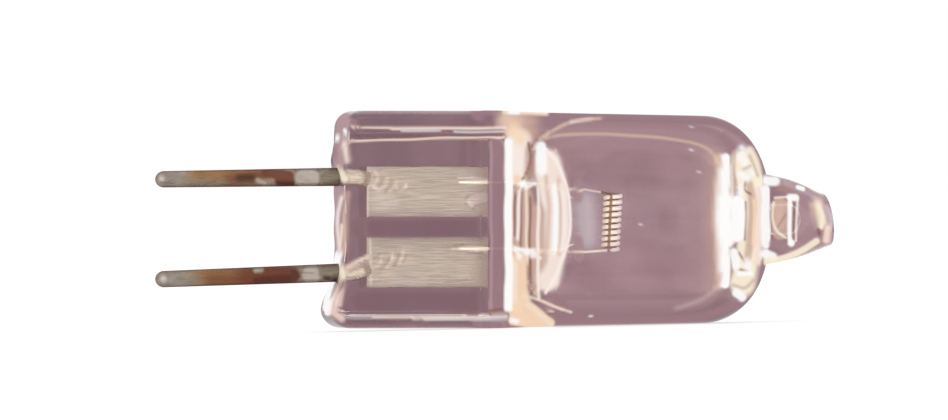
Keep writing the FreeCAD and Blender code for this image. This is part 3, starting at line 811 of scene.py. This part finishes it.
def contact_pin(side, material):
    """A pin with a domed end, necked at the glass and beaten to a tongue on its foil."""
    path = []
    radii = []
    squash = []
    for turn in np.radians(np.linspace(6.0, 90.0, 12)):
        x = -PIN_LENGTH + PIN_RADIUS * (1.0 - math.cos(turn))
        path.append((x, pin_axis_y(side, x), 0.0))
        radii.append(PIN_TIP_RADIUS * math.sin(turn))
        squash.append(1.0)
    for share in np.linspace(0.01, 1.0, 150):
        x = -PIN_LENGTH + PIN_RADIUS + (PIN_SEAT + PIN_LENGTH - PIN_RADIUS) * share
        path.append((x, pin_axis_y(side, x), 0.0))
        radii.append(PIN_TIP_RADIUS + (PIN_GLASS_RADIUS - PIN_TIP_RADIUS) * share)
        squash.append(1.0)
    end_y = foil_centre_y(side) + TONGUE_OFFSET[side]
    start_y = pin_axis_y(side, 0.0)
    for share in np.linspace(0.06, 1.0, 24):
        x = (FOIL_START + TONGUE_LENGTH) * share
        on_foil = smooth_step(FOIL_START - 0.15, FOIL_START + 0.15, x)
        bend = smooth_step(0.4, FOIL_START + TONGUE_LENGTH, x)
        width = TONGUE_HALF_WIDTH * (1.0 - 0.4 * bend)
        path.append((x, start_y + (end_y - start_y) * bend, (FOIL_TOP - FOIL_THICKNESS / 2) * on_foil))
        radii.append(width)
        height = TONGUE_HALF_HEIGHT + (TONGUE_HALF_HEIGHT_ON_FOIL - TONGUE_HALF_HEIGHT) * on_foil
        squash.append(height / width)
    points = []
    faces = []
    add_wire(points, faces, swept_tube(path, radii, squash, PIN_SIDES))
    colours = painted(np.array(points), PIN_MARKS, PIN_LIGHT)
    return new_piece(f"pin_{SIDE_NAME[side]}_finish", points, faces, [material], colours=colours)


def foil(side, material):
    """A thin strip, fine enough a mesh for its painted welds with their painted highlights and shade."""
    columns = 90
    rows = 36
    points = []
    faces = []
    for layer in (0, 1):
        for row in range(rows + 1):
            for column in range(columns + 1):
                x = FOIL_START + FOIL_LENGTH * column / columns
                y = foil_centre_y(side) + FOIL_WIDTH * (row / rows - 0.5)
                points.append((x, y, FOIL_TOP - FOIL_THICKNESS * layer))
    width = columns + 1
    total = width * (rows + 1)
    for row in range(rows):
        for column in range(columns):
            a = row * width + column
            faces.append((a, a + 1, a + 1 + width, a + width))
            b = a + total
            faces.append((b, b + width, b + 1 + width, b + 1))
    border = list(range(columns))
    border += [row * width + columns for row in range(rows)]
    border += [rows * width + column for column in range(columns, 0, -1)]
    border += [row * width for row in range(rows, 0, -1)]
    for here, there in zip(border, border[1:] + border[:1]):
        faces.append((here, here + total, there + total, there))
    colours = painted(np.array(points), FOIL_MARKS, SATIN)
    return new_piece(f"foil_{SIDE_NAME[side]}_finish", points, faces, [material], colours=colours)


def coil_points():
    """The middle line of the coil's wire, from its lower end to its upper one."""
    steps = round(COIL_TURNS * STEPS_PER_TURN)
    points = []
    for number in range(steps + 1):
        share = number / steps
        angle = 2.0 * math.pi * COIL_TURNS * share
        along = COIL_LENGTH * (share - 0.5)
        place = Vector((COIL_RADIUS * math.sin(angle), along, COIL_RADIUS * math.cos(angle)))
        points.append(COIL_CENTRE + COIL_TILT @ place)
    return points


def bent_path(points, radius):
    """Straight runs through the points, joined by sampled tangent arcs."""
    path = [points[0]]
    for before, corner, after in zip(points, points[1:], points[2:]):
        back = (before - corner).normalized()
        ahead = (after - corner).normalized()
        half_turn = (math.pi - back.angle(ahead)) / 2
        reach = radius * math.tan(half_turn)
        for share in np.linspace(0.0, 1.0, 9):
            path.append(corner + back * reach * (1 - share) ** 2 + ahead * reach * share**2)
    path.append(points[-1])
    return path


def leg_path(side):
    """A leg's line from the coil's end to its weld on the foil."""
    rise = COIL_PITCH / (2 * math.pi * COIL_RADIUS)
    start = COIL_CENTRE + COIL_TILT @ Vector((0.0, side * COIL_LENGTH / 2, -side * COIL_RADIUS))
    away = (COIL_TILT @ Vector((-1.0, side * rise, 0.0))).normalized()
    y = foil_centre_y(side) + LEG_OFFSET[side]
    weld = Vector((FOIL_START + FOIL_LENGTH + 0.12, y, FOIL_TOP + WIRE_RADIUS))
    lead = weld + Vector((LEG_LEAD, 0, 0))
    path = bent_path([start, start + away * LEG_STRAIGHT, lead, weld], LEG_BEND_RADIUS)
    end = Vector((FOIL_START + FOIL_LENGTH - WELD_LENGTH, y, FOIL_TOP + 0.03))
    return path, weld, end


def filament(material):
    """The coil and its two legs, whose ends are beaten flat on the foils."""
    points = []
    faces = []
    for side in (UPPER, LOWER):
        path, weld, end = leg_path(side)
        radii = [WIRE_RADIUS] * len(path)
        squash = [1.0] * len(path)
        for share in np.linspace(0.1, 1.0, 12):
            path.append(weld.lerp(end, share))
            radii.append(WIRE_RADIUS + 0.03 * math.sin(math.pi * share))
            squash.append(1.0 - 0.5 * share)
        add_wire(points, faces, swept_tube(path, radii, squash, WIRE_SIDES))
    add_wire(points, faces, coil_rings(coil_points()))
    return new_piece("filament_finish", points, faces, [material])


def coil_rings(path):
    """Rings of the coil's wire, each set square to the helix and to the coil's axis."""
    axis = COIL_TILT @ Vector((0.0, 1.0, 0.0))
    rings = []
    for number, point in enumerate(path):
        ahead = (path[min(number + 1, len(path) - 1)] - path[max(number - 1, 0)]).normalized()
        outward = point - COIL_CENTRE
        outward = (outward - axis * outward.dot(axis)).normalized()
        up = ahead.cross(outward).normalized()
        ring = []
        for side in range(WIRE_SIDES):
            turn = 2.0 * math.pi * side / WIRE_SIDES
            ring.append(point + (outward * math.cos(turn) - up * math.sin(turn)) * COIL_WIRE_RADIUS)
        rings.append(ring)
    return rings


def new_material(name):
    material = bpy.data.materials.new(name)
    material.use_nodes = True
    material.node_tree.nodes.clear()
    return material


class Nodes:
    """Short calls for the nodes that the materials share."""

    def __init__(self, tree):
        self.nodes = tree.nodes
        self.links = tree.links

    def put(self, socket, value):
        if isinstance(value, bpy.types.NodeSocket):
            self.links.new(value, socket)
        elif isinstance(value, tuple) and socket.type == "RGBA":
            socket.default_value = (*value, 1.0)
        else:
            socket.default_value = value

    def math(self, operation, first, second=0.0):
        node = self.nodes.new("ShaderNodeMath")
        node.operation = operation
        self.put(node.inputs[0], first)
        self.put(node.inputs[1], second)
        return node.outputs[0]

    def ramp(self, value, low, high, to_low=0.0, to_high=1.0):
        """A smooth change from one value to another while the input goes from low to high."""
        node = self.nodes.new("ShaderNodeMapRange")
        node.interpolation_type = "SMOOTHSTEP"
        self.put(node.inputs["Value"], value)
        self.put(node.inputs["From Min"], low)
        self.put(node.inputs["From Max"], high)
        self.put(node.inputs["To Min"], to_low)
        self.put(node.inputs["To Max"], to_high)
        return node.outputs["Result"]

    def mix(self, share, first, second):
        node = self.nodes.new("ShaderNodeMix")
        node.data_type = "RGBA"
        self.put(node.inputs["Factor"], share)
        self.put(node.inputs["A"], first)
        self.put(node.inputs["B"], second)
        return node.outputs["Result"]

    def place(self):
        """The surface point in the lamp's frame, in millimetres, as a vector and as its three numbers."""
        back = LAMP.inverted()
        position = self.nodes.new("ShaderNodeTexCoord")
        mapping = self.nodes.new("ShaderNodeMapping")
        mapping.inputs["Location"].default_value = back.translation
        mapping.inputs["Rotation"].default_value = back.to_euler()
        mapping.inputs["Scale"].default_value = (1000.0, 1000.0, 1000.0)
        self.links.new(position.outputs["Object"], mapping.inputs["Vector"])
        split = self.nodes.new("ShaderNodeSeparateXYZ")
        self.links.new(mapping.outputs["Vector"], split.inputs["Vector"])
        return mapping.outputs["Vector"], split.outputs["X"], split.outputs["Y"], split.outputs["Z"]

    def noise(self, vector, stretch, detail=2.0):
        """Even noise from 0 to 1, with its own scale along each axis of the lamp."""
        scaled = self.nodes.new("ShaderNodeVectorMath")
        scaled.operation = "MULTIPLY"
        self.links.new(vector, scaled.inputs[0])
        scaled.inputs[1].default_value = stretch
        node = self.nodes.new("ShaderNodeTexNoise")
        node.inputs["Scale"].default_value = 1.0
        node.inputs["Detail"].default_value = detail
        self.links.new(scaled.outputs["Vector"], node.inputs["Vector"])
        return node.outputs["Fac"]

    def paint(self):
        """The colour that the strokes gave each point of the mesh, and how far they cover it."""
        node = self.nodes.new("ShaderNodeAttribute")
        node.attribute_name = "painted"
        return node

    def glow_over(self, surface):
        """Lays the mesh's painted light over a shader."""
        paint = self.paint()
        glow = self.nodes.new("ShaderNodeEmission")
        self.put(glow.inputs["Color"], paint.outputs["Color"])
        blend = self.nodes.new("ShaderNodeMixShader")
        self.put(blend.inputs["Fac"], paint.outputs["Alpha"])
        self.links.new(surface, blend.inputs[1])
        self.links.new(glow.outputs["Emission"], blend.inputs[2])
        return blend.outputs["Shader"]

    def bump(self, height, distance):
        node = self.nodes.new("ShaderNodeBump")
        node.inputs["Distance"].default_value = distance
        self.put(node.inputs["Height"], height)
        return node.outputs["Normal"]


def glass_material(name, tinted):
    """Clear quartz. The half behind the metal parts carries a dull mauve tint; light shines through."""
    material = new_material(name)
    tree = Nodes(material.node_tree)
    output = tree.nodes.new("ShaderNodeOutputMaterial")
    shader = tree.nodes.new("ShaderNodeBsdfPrincipled")
    shader.inputs["Transmission Weight"].default_value = 1.0
    shader.inputs["Roughness"].default_value = 0.0
    shader.inputs["IOR"].default_value = 1.458
    shader.inputs["Base Color"].default_value = (1.0, 1.0, 1.0, 1.0)
    surface = shader.outputs["BSDF"]
    if tinted:
        vector, x, y, z = tree.place()
        rise = tree.ramp(x, SEAL_LENGTH - 0.4, SEAL_LENGTH + 2.2, 0.75, 1.85)
        fall = tree.ramp(x, DOME_END - 1.2, DOME_END, 0.0, 1.85)
        height = tree.math("SUBTRACT", z, tree.math("SUBTRACT", rise, fall))
        behind = tree.ramp(height, 0.15, -0.15)
        cloud = tree.ramp(tree.noise(vector, (0.5, 0.35, 0.35)), 0.3, 0.7)
        tube = tree.mix(cloud, (0.068, 0.017, 0.026), (0.124, 0.039, 0.051))
        seal = tree.mix(cloud, (0.03, 0.007, 0.011), (0.05, 0.013, 0.019))
        tint = tree.mix(tree.ramp(x, SEAL_LENGTH - 0.6, SEAL_LENGTH + 1.2), seal, tube)
        behind = tree.math("MULTIPLY", behind, tree.math("SUBTRACT", 1.0, foil_shade(tree, x, y)))
        tree.put(shader.inputs["Base Color"], tree.mix(behind, (0.98, 0.97, 0.975), tint))
        # Painted highlights and painted shade glow over the front of the glass
        surface = tree.glow_over(surface)
    clear = tree.nodes.new("ShaderNodeBsdfTransparent")
    clear.inputs["Color"].default_value = (0.93, 0.9, 0.91, 1.0)
    rays = tree.nodes.new("ShaderNodeLightPath")
    mix = tree.nodes.new("ShaderNodeMixShader")
    tree.links.new(rays.outputs["Is Shadow Ray"], mix.inputs["Fac"])
    tree.links.new(surface, mix.inputs[1])
    tree.links.new(clear.outputs["BSDF"], mix.inputs[2])
    tree.links.new(mix.outputs["Shader"], output.inputs["Surface"])
    return material


def foil_shade(tree, x, y):
    """One where the glass lies flat behind a foil, which hides it in the photograph; it stays clear there."""
    along = tree.math("MULTIPLY", tree.ramp(x, FOIL_START + 0.35, FOIL_START + 0.45),
                      tree.ramp(x, FOIL_START + FOIL_LENGTH + 0.1, FOIL_START + FOIL_LENGTH))
    off_middle = tree.math("ABSOLUTE", tree.math("SUBTRACT", y, SEAL_CENTRE_Y))
    inner = tree.ramp(off_middle, FOIL_GAP / 2 + 0.08, FOIL_GAP / 2 + 0.18)
    outer = tree.ramp(off_middle, FOIL_GAP / 2 + FOIL_WIDTH - 0.08, FOIL_GAP / 2 + FOIL_WIDTH - 0.18)
    return tree.math("MULTIPLY", along, tree.math("MULTIPLY", inner, outer))


def metal_shader(name, roughness):
    material = new_material(name)
    tree = Nodes(material.node_tree)
    output = tree.nodes.new("ShaderNodeOutputMaterial")
    shader = tree.nodes.new("ShaderNodeBsdfPrincipled")
    shader.inputs["Metallic"].default_value = 1.0
    shader.inputs["Roughness"].default_value = roughness
    tree.links.new(shader.outputs["BSDF"], output.inputs["Surface"])
    return material, tree, shader


def pin_material(side):
    """Nickel-plated wire, dull at the tip, heat-stained golden and reddish brown, light at the glass, with
    painted shade along its edges and a painted highlight on its tip.
    """
    material, tree, shader = metal_shader(f"pin_metal_{SIDE_NAME[side]}", 0.32)
    vector, x, y = tree.place()[:3]
    grain = tree.noise(vector, (1.6, 9.0, 9.0), 4.0)
    paint = tree.paint()
    colour = tree.mix(tree.ramp(x, -6.9, -5.0), (0.31, 0.26, 0.22), (0.27, 0.2, 0.14))
    colour = tree.mix(paint.outputs["Alpha"], colour, paint.outputs["Color"])
    colour = tree.mix(tree.ramp(x, 0.0, 0.25), colour, (0.95, 0.84, 0.66))
    colour = tree.mix(tree.ramp(grain, 0.5, 0.78, 0.0, 0.4), colour, (0.14, 0.09, 0.07))
    # Painted shade: darker along the pin's top and bottom edges, outside the glass
    lean = math.tan(math.radians(PIN_LEAN_DEG[side]))
    middle = tree.math("ADD", tree.math("MULTIPLY", x, lean), pin_axis_y(side, 0.0))
    off_axis = tree.math("ABSOLUTE", tree.math("SUBTRACT", y, middle))
    edge = tree.math("MULTIPLY", tree.ramp(off_axis, 0.2, 0.37, 0.0, 0.7), tree.ramp(x, 0.1, -0.1))
    tree.put(shader.inputs["Base Color"], tree.mix(edge, colour, (0.07, 0.045, 0.045)))
    shader.inputs["Specular Tint"].default_value = (0.45, 0.38, 0.38, 1.0)
    tree.put(shader.inputs["Roughness"], tree.ramp(grain, 0.3, 0.7, 0.25, 0.5))
    tree.put(shader.inputs["Normal"], tree.bump(tree.noise(vector, (3.0, 14.0, 14.0), 3.0), 0.00003))
    return material


def foil_material():
    """Satin foil with fine rolling lines along it, and painted highlights and shade on the rippled places at
    the welds and along its edges.
    """
    material, tree, shader = metal_shader("foil_metal", 0.45)
    vector = tree.place()[0]
    lines = tree.noise(vector, (0.9, 16.0, 1.0), 4.0)
    cloud = tree.noise(vector, (0.8, 1.6, 1.0), 2.0)
    paint = tree.paint()
    colour = tree.mix(lines, (0.6, 0.51, 0.42), (0.76, 0.65, 0.54))
    colour = tree.mix(tree.ramp(cloud, 0.4, 0.75, 0.0, 0.35), colour, (0.6, 0.55, 0.47))
    tree.put(shader.inputs["Base Color"], tree.mix(paint.outputs["Alpha"], colour, paint.outputs["Color"]))
    tree.put(shader.inputs["Roughness"], tree.ramp(lines, 0.3, 0.7, 0.35, 0.6))
    tree.put(shader.inputs["Normal"], tree.bump(lines, 0.00002))
    return material


def tungsten_material():
    """Drawn wire. Seen from the front, the coil has painted highlights along its sides and painted shade
    within;
    its back has painted shade on the inner part, and all of it glows faintly, though the lamp is unlit.
    """
    material, tree, shader = metal_shader("tungsten", 0.4)
    x, y, z = tree.place()[1:]
    lean = tree.math("MULTIPLY", y, math.tan(math.radians(COIL_TILT_DEG)))
    across = tree.math("SUBTRACT", tree.math("SUBTRACT", x, lean), COIL_CENTRE.x)
    # Painted highlights, cream on the coil's left side and white on its right, with painted brown shade
    # between
    cream_glint_and_shade = tree.mix(tree.ramp(across, -0.24, -0.18), (1.0, 0.93, 0.76), (0.35, 0.2, 0.09))
    front = tree.mix(tree.ramp(across, -0.12, -0.08), cream_glint_and_shade, (1.0, 0.94, 0.86))
    # Painted shade: brown on the inner part of the coil's back
    inside = tree.math("MULTIPLY", tree.ramp(z, -0.34, -0.3), tree.ramp(across, -0.46, -0.42))
    back = tree.mix(inside, (0.8, 0.7, 0.56), (0.24, 0.12, 0.07))
    colour = tree.mix(tree.ramp(z, -0.05, 0.01), back, front)
    tree.put(shader.inputs["Base Color"], colour)
    # The painted colours glow faintly, though the filament is unlit
    tree.put(shader.inputs["Emission Color"], colour)
    shader.inputs["Emission Strength"].default_value = 0.35
    return material


def white_seen_by_rays(tree):
    """One where a ray from the camera, a reflection or a refraction ends, zero for the light that falls."""
    rays = tree.nodes.new("ShaderNodeLightPath")
    seen = tree.math("MAXIMUM", rays.outputs["Is Camera Ray"], rays.outputs["Is Glossy Ray"])
    return tree.math("MAXIMUM", seen, rays.outputs["Is Transmission Ray"])


def pale_floor():
    """A wide floor that looks white; the bulb's shadow shows on the part that the lamps light."""
    reach = FLOOR_REACH_M
    mesh = bpy.data.meshes.new("floor")
    corners = [(-reach, -reach, 0), (reach, -reach, 0), (reach, reach, 0), (-reach, reach, 0)]
    mesh.from_pydata(corners, [], [(0, 1, 2, 3)])
    floor = bpy.data.objects.new("floor", mesh)
    bpy.context.scene.collection.objects.link(floor)
    material = new_material("pale_floor")
    tree = Nodes(material.node_tree)
    output = tree.nodes.new("ShaderNodeOutputMaterial")
    diffuse = tree.nodes.new("ShaderNodeBsdfDiffuse")
    diffuse.inputs["Color"].default_value = (0.6, 0.6, 0.6, 1.0)
    glow = tree.nodes.new("ShaderNodeEmission")
    total = tree.nodes.new("ShaderNodeAddShader")
    tree.put(glow.inputs["Strength"], tree.math("MULTIPLY", white_seen_by_rays(tree), FLOOR_GLOW))
    tree.put(total.inputs[0], diffuse.outputs["BSDF"])
    tree.put(total.inputs[1], glow.outputs["Emission"])
    tree.put(output.inputs["Surface"], total.outputs["Shader"])
    mesh.materials.append(material)


def studio_world():
    """Even light from all round, under a white background."""
    world = bpy.data.worlds.new("studio")
    bpy.context.scene.world = world
    world.use_nodes = True
    tree = Nodes(world.node_tree)
    tree.nodes.clear()
    output = tree.nodes.new("ShaderNodeOutputWorld")
    background = tree.nodes.new("ShaderNodeBackground")
    background.inputs["Color"].default_value = (1.0, 1.0, 1.0, 1.0)
    seen = tree.ramp(white_seen_by_rays(tree), 0.0, 1.0, WORLD_LIGHT, 1.0)
    tree.put(background.inputs["Strength"], seen)
    tree.put(output.inputs["Surface"], background.outputs["Background"])


def area_light(name, direction, distance, size, power, colour):
    """A soft lamp that faces the bulb from one direction."""
    data = bpy.data.lights.new(name, "AREA")
    data.size = size
    data.energy = power
    data.color = colour
    lamp = bpy.data.objects.new(name, data)
    bpy.context.scene.collection.objects.link(lamp)
    away = Vector(direction).normalized()
    lamp.location = away * distance
    lamp.rotation_mode = "QUATERNION"
    lamp.rotation_quaternion = away.to_track_quat("Z", "Y")


def photo_camera():
    """Looks at the seal's flat from the bulb's own height, leaning to the pins' side like the photograph."""
    lamp_axes = LAMP.to_3x3().normalized()
    away = lamp_axes @ Matrix.Rotation(-math.radians(VIEW_LEAN_DEG), 3, "Y") @ Vector((0.0, 0.0, 1.0))
    up = lamp_axes @ Vector((0.0, 1.0, 0.0))
    width = IMAGE_WIDTH / PIXELS_PER_MM / 1000.0
    data = bpy.data.cameras.new("photo_camera")
    data.lens = LENS_MM
    data.sensor_width = SENSOR_MM
    distance = width * LENS_MM / SENSOR_MM
    data.clip_start = distance * 0.5
    data.clip_end = distance * 4.0
    camera = bpy.data.objects.new("photo_camera", data)
    bpy.context.scene.collection.objects.link(camera)
    turn = Matrix((up.cross(away), up, away)).transposed().to_4x4()
    camera.matrix_world = Matrix.Translation(LAMP @ VIEW_CENTRE + away * distance) @ turn
    bpy.context.scene.camera = camera


def build():
    """Makes each piece and hides the CAD node that it stands in for."""
    quartz = glass_material("quartz_outer", True)
    quartz_inner = glass_material("quartz_inner", False)
    foil_metal = foil_material()
    glass = glass_envelope(quartz, quartz_inner)
    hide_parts("quartz_envelope")
    for side, word in SIDE_NAME.items():
        pin = contact_pin(side, pin_material(side))
        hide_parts(f"contact_pin_{word}")
        strip = foil(side, foil_metal)
        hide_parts(f"sealing_foil_{word}")
    wire = filament(tungsten_material())
    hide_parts("filament")


build()
pale_floor()
studio_world()
area_light("soft_key", (0.2, 0.9, 1.6), distance=0.4, size=0.25, power=0.15, colour=(1.0, 0.98, 0.95))
photo_camera()
bpy.context.scene.view_settings.view_transform = "Standard"
